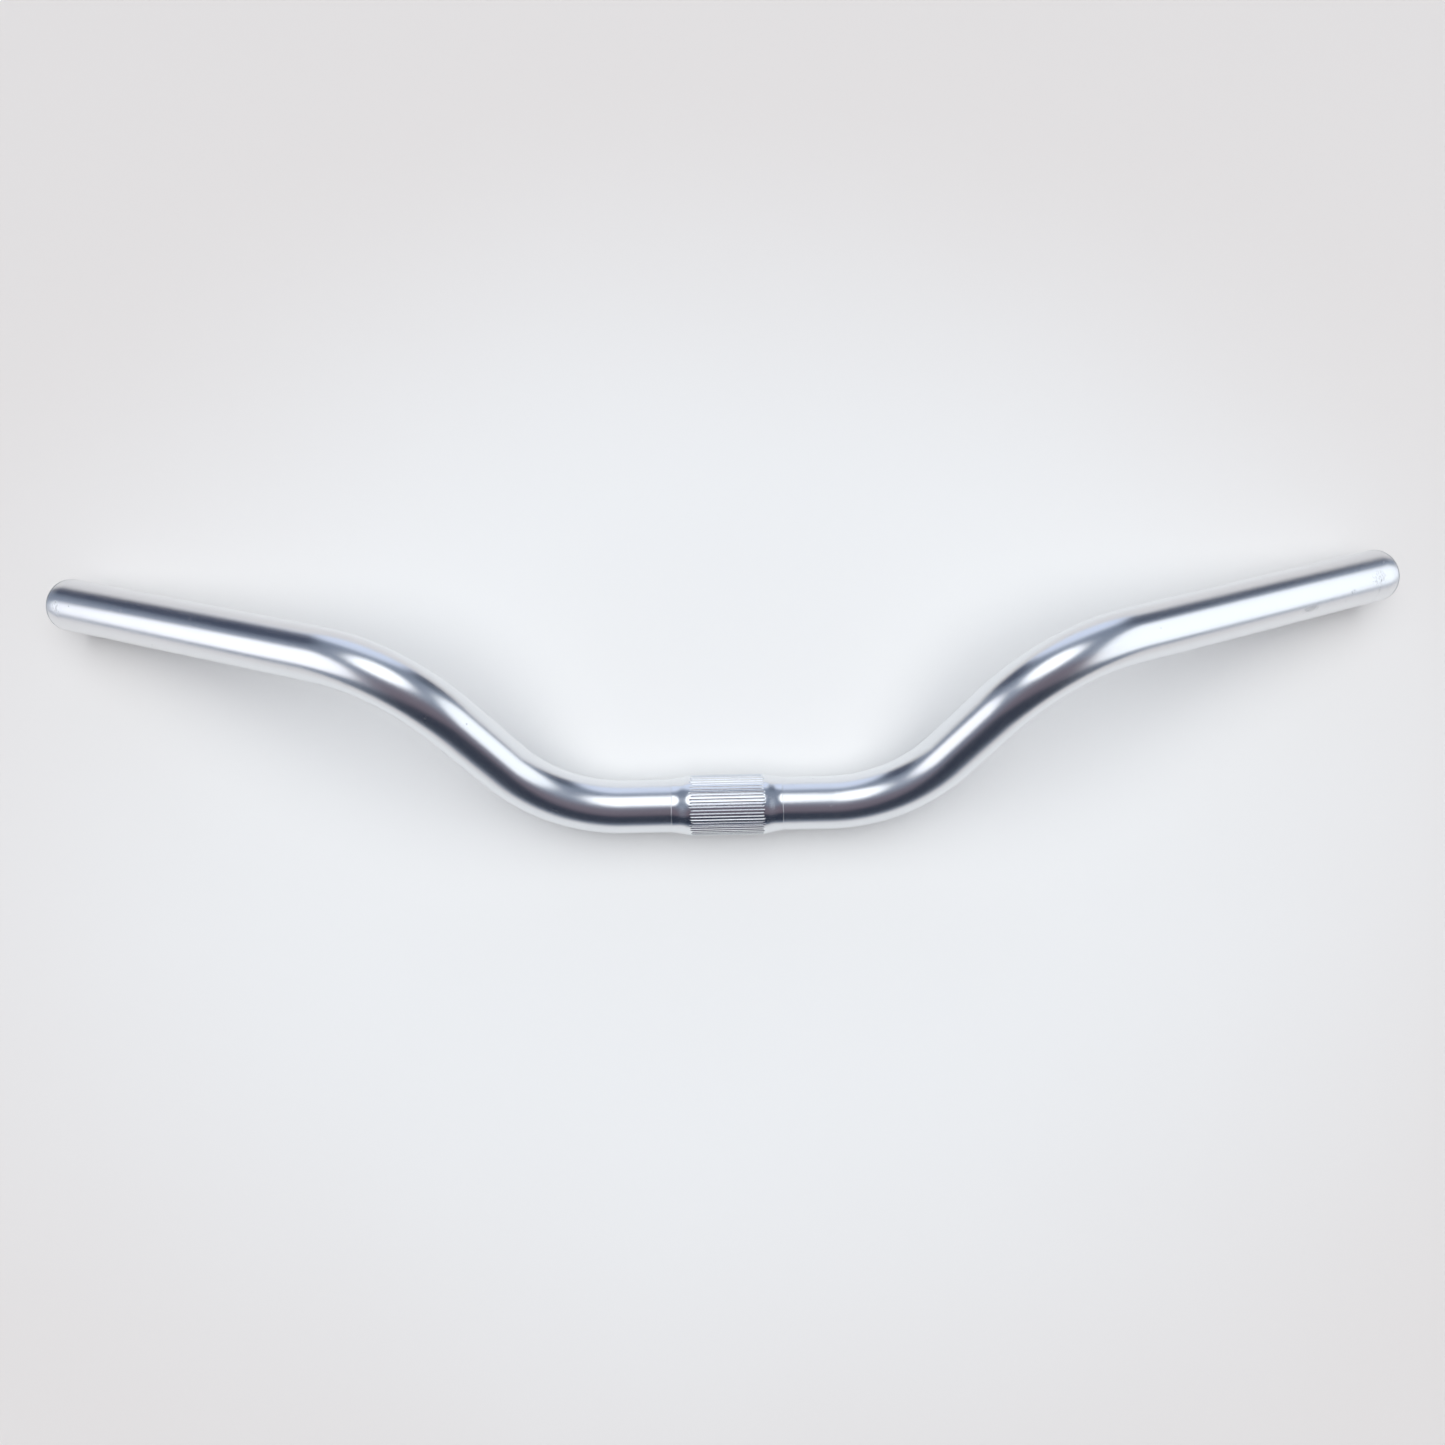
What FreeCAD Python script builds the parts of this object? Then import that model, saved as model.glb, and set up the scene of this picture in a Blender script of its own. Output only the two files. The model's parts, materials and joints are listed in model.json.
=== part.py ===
# A bent handlebar tube with a knurled clamp sleeve, lying as it does on a table: on the sleeve and both tube ends.
# Row frame: origin at the clamp centre on the tube's axis, +X along the bar, +Y from the clamp towards the tube
# ends, +Z up. Each body is drawn in the bar's own frame, where +Z is the rise and +Y the backsweep, and the tube
# is then turned about X until it rests.
import FreeCAD, Part
import os

import Sketcher
from FreeCAD import Placement, Rotation, Vector

# Driving dimensions: name, value in millimetres or degrees (or a plain count), what it measures.
SIZES = [
    ("tube_diameter", 22.2, "outside of the tube"),
    ("tube_wall", 2.2, "wall of the tube"),
    ("clamp_straight", 85, "straight centre of the tube between its two rise bends"),
    ("bend_radius", 60, "radius of every bend, on the tube's centreline"),
    ("rise_bend", 52.5, "angle of the bend that starts the rise"),
    ("rise_straight", 27.5, "straight between the rise bend and the grip bend"),
    ("grip_turn", 26.5, "turn of the grip bend's plane out of the rise bend's plane"),
    ("grip_bend", 56.5, "angle of the bend that ends the rise and sweeps the grip back"),
    ("grip_straight", 134, "straight grip, from the grip bend to the tube's end"),
    ("end_break", 0.4, "broken edge on both rims of each tube end"),
    ("sleeve_diameter", 25.4, "outside of the clamp sleeve"),
    ("sleeve_length", 46.2, "clamp sleeve, rim to rim"),
    ("sleeve_clearance", 0, "radial clearance of the sleeve on the tube, which is pressed on it"),
    ("sleeve_land", 31, "full-diameter middle of the sleeve"),
    ("lip_thickness", 0.3, "wall of the sleeve's thin lip at each rim"),
    ("lip_length", 0.6, "length of that lip"),
    ("knurl_length", 31.8, "length of the knurl's grooves along the sleeve"),
    ("knurl_count", 56, "number of grooves round the sleeve"),
    ("knurl_depth", 0.25, "depth of a groove"),
    ("knurl_mouth", 0.6, "width of a groove at the sleeve's surface"),
    ("knurl_floor", 0.24, "width of a groove's floor"),
]
CUTTER_OVERRUN = 0.05       # how far a groove's outline stands out of the surface that it cuts
SKETCH_GUESS = 1.0          # size of undimensioned sketch geometry before its constraints place it

doc = FreeCAD.newDocument("handlebar")
sheet = doc.addObject("Spreadsheet::Sheet", "sizes")
for row, (alias, value, meaning) in enumerate(SIZES, start=1):
    sheet.set(f"A{row}", alias)
    sheet.set(f"B{row}", str(value))
    sheet.set(f"C{row}", meaning)
    sheet.setAlias(f"B{row}", alias)
doc.recompute()


def new_body(label):
    """A body whose name and label are the node's name."""
    body = doc.addObject("PartDesign::Body", label)
    body.Label = label
    return body


def origin_feature(body, role):
    """The body's own origin plane or axis with this role."""
    return next(feature for feature in body.Origin.OriginFeatures if feature.Role == role)


def finish_body(body, tip):
    """Makes a feature the body's tip, so that the body's shape is that feature's."""
    body.Tip = tip
    doc.recompute()


def size_constraint(sketch, expression, *constraint):
    """A dimension in a sketch that follows an expression on the sheet."""
    index = sketch.addConstraint(Sketcher.Constraint(*constraint))
    sketch.setExpression(f"Constraints[{index}]", expression)


# --- The tube: a chain of stations along its centreline, each with +Z along the tube ---------------------------


def first_station(body):
    """The station at the clamp centre: +Z along the bar and +X towards the rise."""
    station = body.newObject("PartDesign::CoordinateSystem", "clamp_centre")
    station.AttachmentSupport = [(origin_feature(body, "YZ_Plane"), "")]
    station.MapMode = "FlatFace"
    station.AttachmentOffset = Placement(Vector(), Rotation(Vector(0, 0, 1), 90))
    return station


def next_station(body, previous, name, axis, offsets):
    """A station placed on the previous one, by expressions on its attachment offset."""
    station = body.newObject("PartDesign::CoordinateSystem", name)
    station.AttachmentSupport = [(previous, "")]
    station.MapMode = "ObjectXY"
    station.AttachmentOffset = Placement(Vector(), Rotation(axis, 1))
    for path, expression in offsets.items():
        station.setExpression(f"AttachmentOffset.{path}", expression)
    return station


def tube_section(body, station, name):
    """The tube's ring section, square to its centreline, with the next bend's axis as a construction line."""
    sketch = body.newObject("Sketcher::SketchObject", name)
    sketch.AttachmentSupport = [(station, "")]
    sketch.MapMode = "ObjectXY"
    for expression in ("sizes.tube_diameter", "sizes.tube_diameter - 2 * sizes.tube_wall"):
        ring = sketch.addGeometry(Part.Circle(Vector(), Vector(0, 0, 1), SKETCH_GUESS), False)
        sketch.addConstraint(Sketcher.Constraint("Coincident", ring, 3, -1, 1))
        size_constraint(sketch, expression, "Diameter", ring, 2 * SKETCH_GUESS)
    start = Vector(2 * SKETCH_GUESS, 0, 0)
    line = sketch.addGeometry(Part.LineSegment(start, start + Vector(0, SKETCH_GUESS, 0)), True)
    sketch.addConstraint(Sketcher.Constraint("Vertical", line))
    sketch.addConstraint(Sketcher.Constraint("PointOnObject", line, 1, -1))
    size_constraint(sketch, "sizes.bend_radius", "DistanceX", -1, 1, line, 1, start.x)
    size_constraint(sketch, "sizes.bend_radius", "DistanceY", line, 1, line, 2, SKETCH_GUESS)
    return sketch


def straight(body, station, name, length):
    """A straight run of tube from a station, and the station at its end."""
    run = body.newObject("PartDesign::Pad", name)
    run.Profile = tube_section(body, station, name + "_section")
    run.setExpression("Length", length)
    return run, next_station(body, station, name + "_end", Vector(0, 0, 1),
                             {"Base.z": length, "Rotation.Angle": "0 deg"})


def bend(body, station, name, angle):
    """A bend towards the station's +X, and the station at its end."""
    turn = body.newObject("PartDesign::Revolution", name)
    section = tube_section(body, station, name + "_section")
    turn.Profile = section
    turn.ReferenceAxis = (section, ["Axis0"])
    turn.setExpression("Angle", angle)
    return turn, next_station(body, station, name + "_end", Vector(0, 1, 0),
                              {"Base.x": f"sizes.bend_radius * (1 - cos({angle} * 1 deg))",
                               "Base.z": f"sizes.bend_radius * sin({angle} * 1 deg)",
                               "Rotation.Angle": f"{angle} * 1 deg"})


def rim_edges(feature, station):
    """Names of the circular edges of a feature that lie round a station."""
    centre = station.Placement.Base
    return [f"Edge{number}" for number, edge in enumerate(feature.Shape.Edges, start=1)
            if isinstance(edge.Curve, Part.Circle) and edge.Curve.Center.isEqual(centre, 1e-6)]


def build_tube():
    """One half of the tube, run by run from the clamp centre, and its mirror image."""
    body = new_body("bar_tube")
    station = first_station(body)
    _, station = straight(body, station, "clamp_run", "sizes.clamp_straight / 2")
    _, station = bend(body, station, "rise", "sizes.rise_bend")
    _, station = straight(body, station, "rise_run", "sizes.rise_straight")
    station = next_station(body, station, "grip_plane", Vector(0, 0, 1),
                           {"Rotation.Angle": "(180 + sizes.grip_turn) * 1 deg"})
    _, station = bend(body, station, "grip_sweep", "sizes.grip_bend")
    grip, tube_end = straight(body, station, "grip_run", "sizes.grip_straight")
    doc.recompute()

    rims = body.newObject("PartDesign::Chamfer", "end_break")
    rims.Base = (grip, rim_edges(grip, tube_end))
    rims.setExpression("Size", "sizes.end_break")
    doc.recompute()

    both = body.newObject("PartDesign::Mirrored", "both_halves")
    both.TransformMode = "Whole shape"
    both.MirrorPlane = (origin_feature(body, "YZ_Plane"), [""])
    both.Refine = True
    finish_body(body, both)
    return body, tube_end


# --- The sleeve: a turned profile, mirrored, with straight grooves round its middle ----------------------------


def sleeve_profile(body):
    """Half the sleeve's wall, in the plane of its axis: bore, rim, lip, a ramp of two equal arcs, and the land."""
    sketch = body.newObject("Sketcher::SketchObject", "sleeve_profile")
    sketch.AttachmentSupport = [(origin_feature(body, "XY_Plane"), "")]
    sketch.MapMode = "FlatFace"

    land, ramp, rim, bore, lip, top = 15.5, 22.5, 23.1, 11.1, 11.4, 12.7    # a first shape for the solver
    middle = Vector((land + ramp) / 2, (lip + top) / 2, 0)
    radius = ((ramp - land) ** 2 + (top - lip) ** 2) / (4 * (top - lip))
    hollow = Part.Arc(Vector(ramp, lip, 0), Vector(ramp - 2, lip + radius - (radius ** 2 - 4) ** 0.5, 0), middle)
    crown = Part.Arc(middle, Vector(land + 2, top - radius + (radius ** 2 - 4) ** 0.5, 0), Vector(land, top, 0))
    outline = [Part.LineSegment(Vector(0, bore, 0), Vector(rim, bore, 0)),
               Part.LineSegment(Vector(rim, bore, 0), Vector(rim, lip, 0)),
               Part.LineSegment(Vector(rim, lip, 0), Vector(ramp, lip, 0)),
               hollow,
               crown,
               Part.LineSegment(Vector(land, top, 0), Vector(0, top, 0)),
               Part.LineSegment(Vector(0, top, 0), Vector(0, bore, 0))]
    bore_line, rim_line, lip_line, hollow_arc, crown_arc, land_line, middle_line = sketch.addGeometry(outline, False)

    # The solver keeps an arc's ends in anticlockwise order: the hollow arc ends at the lip, and the crown arc
    # starts at the ramp's middle.
    for first, first_end, second, second_end in ((bore_line, 2, rim_line, 1), (rim_line, 2, lip_line, 1),
                                                 (land_line, 2, middle_line, 1), (middle_line, 2, bore_line, 1)):
        sketch.addConstraint(Sketcher.Constraint("Coincident", first, first_end, second, second_end))
    for first, first_end, second, second_end in ((lip_line, 2, hollow_arc, 2), (hollow_arc, 1, crown_arc, 1),
                                                 (crown_arc, 2, land_line, 1)):
        sketch.addConstraint(Sketcher.Constraint("Tangent", first, first_end, second, second_end))
    sketch.addConstraint(Sketcher.Constraint("Equal", hollow_arc, crown_arc))
    for line in (bore_line, lip_line, land_line):
        sketch.addConstraint(Sketcher.Constraint("Horizontal", line))
    for line in (rim_line, middle_line):
        sketch.addConstraint(Sketcher.Constraint("Vertical", line))
    sketch.addConstraint(Sketcher.Constraint("PointOnObject", bore_line, 1, -2))

    size_constraint(sketch, "sizes.tube_diameter / 2 + sizes.sleeve_clearance",
                    "DistanceY", -1, 1, bore_line, 1, bore)
    size_constraint(sketch, "sizes.sleeve_length / 2", "DistanceX", -1, 1, bore_line, 2, rim)
    size_constraint(sketch, "sizes.lip_thickness", "DistanceY", rim_line, 1, rim_line, 2, lip - bore)
    size_constraint(sketch, "sizes.lip_length", "DistanceX", lip_line, 2, lip_line, 1, rim - ramp)
    size_constraint(sketch, "sizes.sleeve_land / 2", "DistanceX", land_line, 2, land_line, 1, land)
    size_constraint(sketch, "sizes.sleeve_diameter / 2", "DistanceY", -1, 1, land_line, 2, top)
    return sketch


def groove_outline(body):
    """One groove's section below the axis, half a pitch to one side, so that a crest is lowest."""
    sketch = body.newObject("Sketcher::SketchObject", "groove_outline")
    sketch.AttachmentSupport = [(origin_feature(body, "YZ_Plane"), "")]
    sketch.MapMode = "FlatFace"
    sketch.AttachmentOffset = Placement(Vector(), Rotation(Vector(0, 0, 1), 1))
    sketch.setExpression("AttachmentOffset.Rotation.Angle", "180 deg / sizes.knurl_count")
    top, floor = 12.75, 12.45                                               # a first shape for the solver
    corners = [Vector(-0.12, -floor, 0), Vector(-0.3, -top, 0), Vector(0.3, -top, 0), Vector(0.12, -floor, 0)]
    lines = sketch.addGeometry([Part.LineSegment(start, end)
                                for start, end in zip(corners, corners[1:] + corners[:1])], False)
    for first, second in zip(lines, lines[1:] + lines[:1]):
        sketch.addConstraint(Sketcher.Constraint("Coincident", first, 2, second, 1))
    flank, mouth, _, floor_line = lines
    sketch.addConstraint(Sketcher.Constraint("Symmetric", mouth, 1, mouth, 2, -2))
    sketch.addConstraint(Sketcher.Constraint("Symmetric", floor_line, 1, floor_line, 2, -2))
    size_constraint(sketch, "sizes.knurl_mouth", "DistanceX", mouth, 1, mouth, 2, 0.6)
    size_constraint(sketch, "sizes.knurl_floor", "DistanceX", flank, 1, floor_line, 1, 0.24)
    size_constraint(sketch, f"sizes.sleeve_diameter / 2 + {CUTTER_OVERRUN}", "DistanceY", mouth, 1, -1, 1, top)
    size_constraint(sketch, "sizes.sleeve_diameter / 2 - sizes.knurl_depth",
                    "DistanceY", flank, 1, -1, 1, floor)
    return sketch


def build_sleeve():
    """The sleeve turned and mirrored, then one groove cut and repeated round the axis."""
    body = new_body("clamp_sleeve")
    turned = body.newObject("PartDesign::Revolution", "turned_half")
    turned.Profile = sleeve_profile(body)
    turned.ReferenceAxis = (origin_feature(body, "X_Axis"), [""])
    turned.Angle = 360
    doc.recompute()

    both = body.newObject("PartDesign::Mirrored", "turned_whole")
    both.TransformMode = "Whole shape"
    both.MirrorPlane = (origin_feature(body, "YZ_Plane"), [""])
    both.Refine = True
    finish_body(body, both)
    plain_volume = body.Shape.Volume

    groove = body.newObject("PartDesign::Pocket", "groove")
    groove.Profile = groove_outline(body)
    groove.Midplane = True
    groove.setExpression("Length", "sizes.knurl_length")
    finish_body(body, groove)
    one_groove = plain_volume - body.Shape.Volume
    if one_groove <= 0:
        raise RuntimeError("the knurl's groove cuts nothing")

    knurl = body.newObject("PartDesign::PolarPattern", "knurl")
    knurl.Originals = [groove]
    knurl.Axis = (origin_feature(body, "X_Axis"), [""])
    knurl.Angle = 360
    knurl.setExpression("Occurrences", "sizes.knurl_count")
    finish_body(body, knurl)
    cut = plain_volume - body.Shape.Volume
    if abs(cut - one_groove * sheet.knurl_count) > 0.01 * cut:
        raise RuntimeError("the knurl's grooves don't all cut the sleeve")
    return body


# --- Rest: the tube turned about X until its ends touch the plane that the sleeve lies on ----------------------


def resting_turn(tube_end):
    """Angle about X at which a tube end's lowest point is level with the sleeve's.

    The lowest point is on the outer circle where the end's broken edge starts, which is end_break short of the
    end. Each step turns the bar by the height still missing over the end's distance from the X axis.
    """
    tip = tube_end.Placement.Base
    along = tube_end.Placement.Rotation.multVec(Vector(0, 0, 1))
    table = -sheet.sleeve_diameter / 2
    reach = (tip.y ** 2 + tip.z ** 2) ** 0.5
    turn = Rotation(Vector(0, 1, 0), Vector(0, tip.y, -tip.z))
    angle = -turn.Angle
    for _ in range(50):
        turned = Rotation(Vector(1, 0, 0), FreeCAD.Units.Quantity(angle, "rad").getValueAs("deg").Value)
        slope = turned.multVec(along).z
        circle = turned.multVec(tip - along * sheet.end_break).z
        lowest = circle - sheet.tube_diameter / 2 * (1 - slope ** 2) ** 0.5
        angle += (table - lowest) / reach
    return turned


tube, tube_end = build_tube()
sleeve = build_sleeve()
tube.Placement = Placement(Vector(), resting_turn(tube_end))
doc.recompute()

for item in doc.Objects:
    if {"Invalid", "Error"} & set(item.State):
        raise RuntimeError(f"{item.Label} failed: {item.State}")
os.makedirs("parts", exist_ok=True)
for body in (tube, sleeve):
    if body.Shape.isNull() or not body.Shape.isValid() or len(body.Shape.Solids) != 1:
        raise RuntimeError(f"{body.Label} isn't one valid solid")
    body.Shape.exportStep(f"parts/{body.Label}.step")
    print(body.Label, round(body.Shape.Volume, 1), body.Shape.BoundBox)
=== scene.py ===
"""A bent, polished handlebar tube with its knurled clamp sleeve, on a pale table under soft studio light.

Lengths are in metres and angles in radians unless a name says otherwise. The row frame has its origin at the
clamp centre, +X along the bar, +Y from the clamp towards the tube ends and +Z up.
"""

import json
import logging
import math
from dataclasses import dataclass, field
from enum import Enum
from typing import Any, Mapping, Sequence

import bpy
import numpy as np
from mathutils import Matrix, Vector


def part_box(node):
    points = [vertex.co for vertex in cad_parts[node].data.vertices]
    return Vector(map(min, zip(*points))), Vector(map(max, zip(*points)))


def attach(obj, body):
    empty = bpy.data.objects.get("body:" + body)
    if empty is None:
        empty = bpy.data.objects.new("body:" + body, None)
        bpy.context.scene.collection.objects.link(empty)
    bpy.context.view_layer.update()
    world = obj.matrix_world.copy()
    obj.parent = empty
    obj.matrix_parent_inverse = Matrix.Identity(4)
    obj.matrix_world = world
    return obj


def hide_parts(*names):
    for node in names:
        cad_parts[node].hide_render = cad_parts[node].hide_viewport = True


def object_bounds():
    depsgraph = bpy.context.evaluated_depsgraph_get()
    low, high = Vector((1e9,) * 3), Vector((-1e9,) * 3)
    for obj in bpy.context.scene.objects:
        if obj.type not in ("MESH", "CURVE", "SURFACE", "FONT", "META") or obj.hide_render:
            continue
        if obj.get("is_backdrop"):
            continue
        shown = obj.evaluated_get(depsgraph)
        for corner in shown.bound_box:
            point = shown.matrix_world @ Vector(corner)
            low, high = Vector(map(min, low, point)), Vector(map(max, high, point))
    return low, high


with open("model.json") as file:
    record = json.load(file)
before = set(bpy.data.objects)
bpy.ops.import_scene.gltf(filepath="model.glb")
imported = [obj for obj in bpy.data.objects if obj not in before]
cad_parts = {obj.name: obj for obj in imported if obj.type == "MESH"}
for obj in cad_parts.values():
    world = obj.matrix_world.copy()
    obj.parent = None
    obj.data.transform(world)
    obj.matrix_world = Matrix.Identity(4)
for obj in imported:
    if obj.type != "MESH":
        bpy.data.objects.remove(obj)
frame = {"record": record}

LOG = logging.getLogger("handlebar")
BODY = "root"
MM = 0.001
Array = np.ndarray
Colour = tuple[float, float, float]


class Slot(Enum):
    """The record's material slots."""

    TUBE = "polished_tube"
    SLEEVE = "knurled_sleeve"


class Node(Enum):
    """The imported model's nodes."""

    TUBE = "bar_tube"
    SLEEVE = "clamp_sleeve"


# --- Shader maths -----------------------------------------------------------------------------------------


class Signal:
    """A number carried by a socket. Arithmetic on it adds Math nodes to its board."""

    def __init__(self, board: "Board", socket: bpy.types.NodeSocket) -> None:
        """Wraps a socket of a board's tree."""
        self.board = board
        self.socket = socket

    def __add__(self, other: "Signal | float") -> "Signal":
        """self + other."""
        return self.board.math("ADD", self, other)

    def __radd__(self, other: float) -> "Signal":
        """other + self."""
        return self.board.math("ADD", other, self)

    def __sub__(self, other: "Signal | float") -> "Signal":
        """self - other."""
        return self.board.math("SUBTRACT", self, other)

    def __rsub__(self, other: float) -> "Signal":
        """other - self."""
        return self.board.math("SUBTRACT", other, self)

    def __mul__(self, other: "Signal | float") -> "Signal":
        """self * other."""
        return self.board.math("MULTIPLY", self, other)

    def __rmul__(self, other: float) -> "Signal":
        """other * self."""
        return self.board.math("MULTIPLY", other, self)

    def __truediv__(self, other: "Signal | float") -> "Signal":
        """self / other."""
        return self.board.math("DIVIDE", self, other)

    def __abs__(self) -> "Signal":
        """The size of self, without its sign."""
        return self.board.math("ABSOLUTE", self)

    def root(self) -> "Signal":
        """The square root of self."""
        return self.board.math("SQRT", self)

    def at_most(self, other: "Signal | float") -> "Signal":
        """The smaller of self and other."""
        return self.board.math("MINIMUM", self, other)

    def at_least(self, other: "Signal | float") -> "Signal":
        """The larger of self and other."""
        return self.board.math("MAXIMUM", self, other)


class Board:
    """A node tree with one method that adds any node, and short forms of the few that recur."""

    def __init__(self, tree: bpy.types.NodeTree) -> None:
        """Empties a tree and takes it over."""
        self.tree = tree
        self.tree.nodes.clear()

    def node(self, kind: str, settings: Mapping[str, Any] | None = None,
             inputs: Mapping[str | int, Any] | None = None) -> bpy.types.Node:
        """Adds a node.

        Args:
            kind: the node's type, such as ShaderNodeMath.
            settings: properties of the node, which are set first.
            inputs: a value, a Signal or a socket for each named or numbered input.

        Returns:
            The new node.
        """
        made = self.tree.nodes.new(kind)
        for name, value in (settings or {}).items():
            setattr(made, name, value)
        for key, value in (inputs or {}).items():
            source = value.socket if isinstance(value, Signal) else value
            if isinstance(source, bpy.types.NodeSocket):
                self.tree.links.new(source, made.inputs[key])
            else:
                made.inputs[key].default_value = source
        return made

    def math(self, operation: str, *values: "Signal | float") -> Signal:
        """A Math node on one or two values."""
        made = self.node("ShaderNodeMath", {"operation": operation}, dict(enumerate(values)))
        return Signal(self, made.outputs[0])

    def step(self, value: Signal, low: float, high: float) -> Signal:
        """A smooth step from 0 to 1.

        Args:
            value: what the step is taken on.
            low: where the step is 0. It may be larger than high.
            high: where the step is 1.

        Returns:
            The step's height at value.
        """
        made = self.node("ShaderNodeMapRange", {"interpolation_type": "SMOOTHSTEP"},
                         {"Value": value, "From Min": low, "From Max": high})
        return Signal(self, made.outputs["Result"])

    def mix(self, factor: "Signal | float", first: Any, second: Any) -> bpy.types.NodeSocket:
        """A mix of two colours.

        Args:
            factor: the share of the second colour, from 0 to 1.
            first, second: a colour of three parts, or a colour socket.

        Returns:
            The mixed colour's socket.
        """
        inputs = {0: factor, 6: opaque(first), 7: opaque(second)}
        return self.node("ShaderNodeMix", {"data_type": "RGBA"}, inputs).outputs[2]

    def split(self, vector: bpy.types.NodeSocket) -> tuple[Signal, Signal, Signal]:
        """A vector's three parts."""
        made = self.node("ShaderNodeSeparateXYZ", inputs={0: vector})
        x, y, z = (Signal(self, output) for output in made.outputs)
        return x, y, z

    def stretched(self, vector: bpy.types.NodeSocket, scale: Sequence[float]) -> bpy.types.NodeSocket:
        """A vector with each part scaled."""
        return self.node("ShaderNodeMapping", inputs={"Vector": vector, "Scale": tuple(scale)}).outputs[0]

    def noise(self, vector: bpy.types.NodeSocket, scale: float, detail: float = 3.0) -> Signal:
        """Smooth noise round 0.5."""
        made = self.node("ShaderNodeTexNoise", inputs={"Vector": vector, "Scale": scale, "Detail": detail})
        return Signal(self, made.outputs["Fac"])


def opaque(colour: Any) -> Any:
    """A colour of three parts given a full alpha; a socket is passed on as it is."""
    if isinstance(colour, tuple) and len(colour) == 3:
        return (*colour, 1.0)
    return colour


def new_material(name: str) -> tuple[bpy.types.Material, Board]:
    """A material that uses nodes, and the board of its tree."""
    material = bpy.data.materials.new(name)
    material.use_nodes = True
    return material, Board(material.node_tree)


# --- Meshes -----------------------------------------------------------------------------------------------


def closed_skin(name: str, rows: Array, skin: Array, collection: bpy.types.Collection) -> bpy.types.Object:
    """A mesh from a grid that closes both ways, as a ring does.

    Face (i, j) joins the points (i, j), (i, j + 1), (i + 1, j + 1) and (i + 1, j), with both indices taken
    round the end of the grid, so the first and last rows are joined as well.

    Args:
        name: the object's name.
        rows: points of the grid, of shape (rows, columns, 3).
        skin: for each point, its place on the straightened tube: distance along it, and two cross coordinates.
        collection: where the object is linked.

    Returns:
        The new object, at the origin.
    """
    count, columns = rows.shape[:2]
    index = np.arange(count * columns).reshape(count, columns)
    beside = np.roll(index, -1, axis=1)
    corners = np.stack([index, beside, np.roll(beside, -1, axis=0), np.roll(index, -1, axis=0)], axis=-1)
    faces = corners.reshape(-1, 4)

    mesh = bpy.data.meshes.new(name)
    mesh.vertices.add(rows.size // 3)
    mesh.vertices.foreach_set("co", rows.astype(np.float32).ravel())
    mesh.loops.add(faces.size)
    mesh.loops.foreach_set("vertex_index", faces.astype(np.int32).ravel())
    mesh.polygons.add(len(faces))
    mesh.polygons.foreach_set("loop_start", np.arange(0, faces.size, 4, dtype=np.int32))
    mesh.polygons.foreach_set("use_smooth", np.ones(len(faces), dtype=bool))
    straightened = mesh.attributes.new("straightened", "FLOAT_VECTOR", "POINT")
    straightened.data.foreach_set("vector", skin.astype(np.float32).ravel())
    mesh.update(calc_edges=True)
    mesh.validate()

    piece = bpy.data.objects.new(name, mesh)
    collection.objects.link(piece)
    return piece


def smooth(value: Array) -> Array:
    """The smooth step 3v^2 - 2v^3 of a value held between 0 and 1."""
    held = np.clip(value, 0.0, 1.0)
    return held * held * (3.0 - 2.0 * held)


@dataclass(frozen=True)
class Ripple:
    """One sine of an irregular edge: share * sin(rate * value + start)."""

    share: float
    rate: float
    start: float = 0.0


def rippled(value: Array, ripples: Sequence[Ripple]) -> Array:
    """The sum of some ripples at each value."""
    return sum(ripple.share * np.sin(ripple.rate * value + ripple.start) for ripple in ripples)


def quarter_round(radius: float, count: int) -> tuple[Array, Array]:
    """A rounded edge seen from its corner.

    Point k lies at the angle a = 90 k / (count - 1) degrees: radius * (1 - sin a) short of the end face and
    radius * (1 - cos a) under the wall.

    Args:
        radius: the rounding's radius.
        count: how many points it has.

    Returns:
        How far each point is short of the end face, and how far it is under the wall.
    """
    angle = np.linspace(0.0, math.pi / 2, count)
    return radius * (1.0 - np.sin(angle)), radius * (1.0 - np.cos(angle))


# --- The tube ---------------------------------------------------------------------------------------------


@dataclass(frozen=True)
class Run:
    """One stretch of the tube, straight or bent on a circular arc.

    Attributes:
        length: a straight stretch's length.
        bend: a bent stretch's angle, or 0 for a straight one.
        turn: how far the plane of bending turns about the tube before this stretch.
        samples: how many steps the stretch is ruled in.
    """

    length: float = 0.0
    bend: float = 0.0
    turn: float = 0.0
    samples: int = 8


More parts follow.
